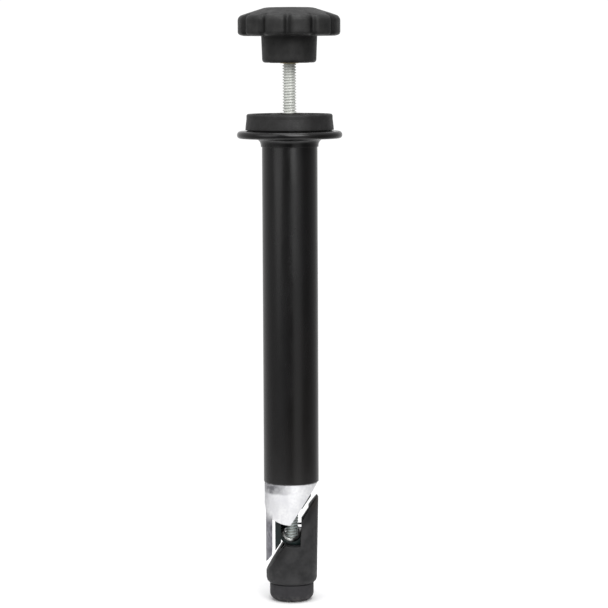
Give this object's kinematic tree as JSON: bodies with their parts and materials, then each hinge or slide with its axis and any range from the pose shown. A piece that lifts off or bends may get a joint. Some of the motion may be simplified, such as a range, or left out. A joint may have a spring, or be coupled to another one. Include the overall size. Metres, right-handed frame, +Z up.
{
  "type": "wedge expander clamp stem",
  "caption": "Flanged tube hung in a wider tube and locked there by a hand knob, whose threaded rod draws a slanted lower wedge sideways up a fixed aluminium wedge.",
  "frame": {"origin": "middle of the foot's underside, on the tube's axis", "axes": "+Z up along the tube and the rod, towards the hand knob; the lower wedge climbs towards +X; the open side of the wedges faces -Y"},
  "size_m": [0.0758, 0.0758, 0.4306],
  "materials": {
    "black_paint": "semi-gloss black enamel",
    "gasket_rubber": "matt",
    "cap_plastic": "fine-grained moulded plastic",
    "knob_plastic": "fine-grained moulded plastic",
    "nylon": "smooth dark nylon",
    "dark_steel": "blackened, dull",
    "cast_aluminium": "bead-blasted casting with machined faces",
    "zinc_steel": "zinc plated",
    "rod_steel": "zinc plated, rolled thread",
    "brass": "turned",
    "black_iron": "blackened casting, dull",
    "foot_rubber": "matt, hard"
  },
  "bodies": {
    "tube_body": {"outer_tube": "black_paint", "flange_collar": "black_paint", "cap_gasket": "gasket_rubber", "end_cap": "cap_plastic", "cap_washer": "dark_steel", "cap_bush": "nylon", "upper_wedge": "cast_aluminium", "plug_bush": "nylon", "plug_screw": "zinc_steel", "guide_liner": "nylon"},
    "washer_body": {"thrust_washer": "nylon"},
    "knob_body": {"hand_knob": "knob_plastic", "knob_cover": "knob_plastic", "knob_insert": "brass", "knob_lock_nut": "zinc_steel", "threaded_rod": "rod_steel"},
    "nut_body": {"draw_nut": "zinc_steel", "nut_washer": "zinc_steel"},
    "wedge_body": {"lower_wedge": "black_iron", "saddle_washer": "zinc_steel", "saddle_seat": "nylon", "keeper_bar": "dark_steel", "foot_plug": "foot_rubber"}
  },
  "joints": [
    {"name": "knob_feed", "type": "slide", "parent": "tube_body", "child": "washer_body", "axis": [0, 0, -1], "range_m": [0, 0.0352]},
    {"name": "knob_spin", "type": "hinge", "parent": "washer_body", "child": "knob_body", "pos_m": [0, 0, 0.4], "axis": [0, 0, -1], "range_deg": [0, 6336]},
    {"name": "wedge_lift", "type": "slide", "parent": "tube_body", "child": "nut_body", "axis": [0, 0, 1], "range_m": [0, 0.01007]},
    {"name": "wedge_shift", "type": "slide", "parent": "nut_body", "child": "wedge_body", "axis": [1, 0, 0], "range_m": [0, 0.0025]}
  ],
  "couplings": [
    {"joint": "knob_feed", "follows": "knob_spin", "m_per_rad": 0.0003183},
    {"joint": "wedge_shift", "follows": "wedge_lift", "ratio": 0.24825}
  ]
}
